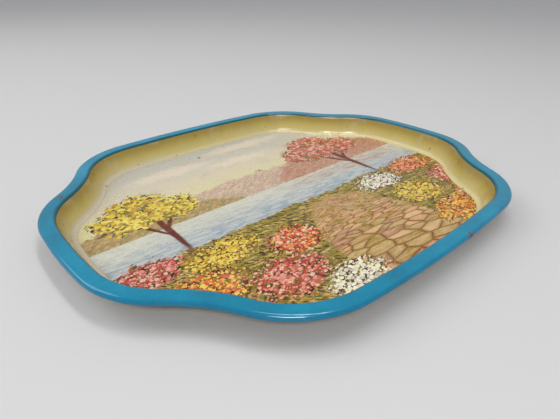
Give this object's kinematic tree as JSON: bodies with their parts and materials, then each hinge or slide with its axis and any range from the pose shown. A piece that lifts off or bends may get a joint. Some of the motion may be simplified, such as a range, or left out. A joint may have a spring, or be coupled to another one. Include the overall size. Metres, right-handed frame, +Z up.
{
  "type": "promotional serving tray",
  "caption": "Shaped tinplate serving tray with a flat printed floor, sloping cream wall, level blue enamelled flange and an edge rolled round a stiffening wire.",
  "frame": {"origin": "middle of the flat base, on the surface that the tray stands on", "axes": "+X along the tray's length, +Y towards its back long side, +Z up out of the well"},
  "size_m": [0.4062, 0.335, 0.0214],
  "materials": {
    "tinplate": "lacquered tinplate, dull and lightly scuffed, with a few rust freckles",
    "steel_wire": "drawn mild-steel wire, oiled and slightly rusty",
    "cream_enamel": "stoved cream enamel, glossy, ochre towards the rim, with small dark specks",
    "picture_print": null,
    "blue_enamel": "stoved teal-blue enamel, glossy, with small chips down to rusty metal"
  },
  "bodies": {
    "root": {"tray_pressing": "tinplate", "rim_wire": "steel_wire", "wall_enamel": "cream_enamel", "picture_print": "picture_print", "rim_enamel": "blue_enamel"}
  },
  "joints": []
}
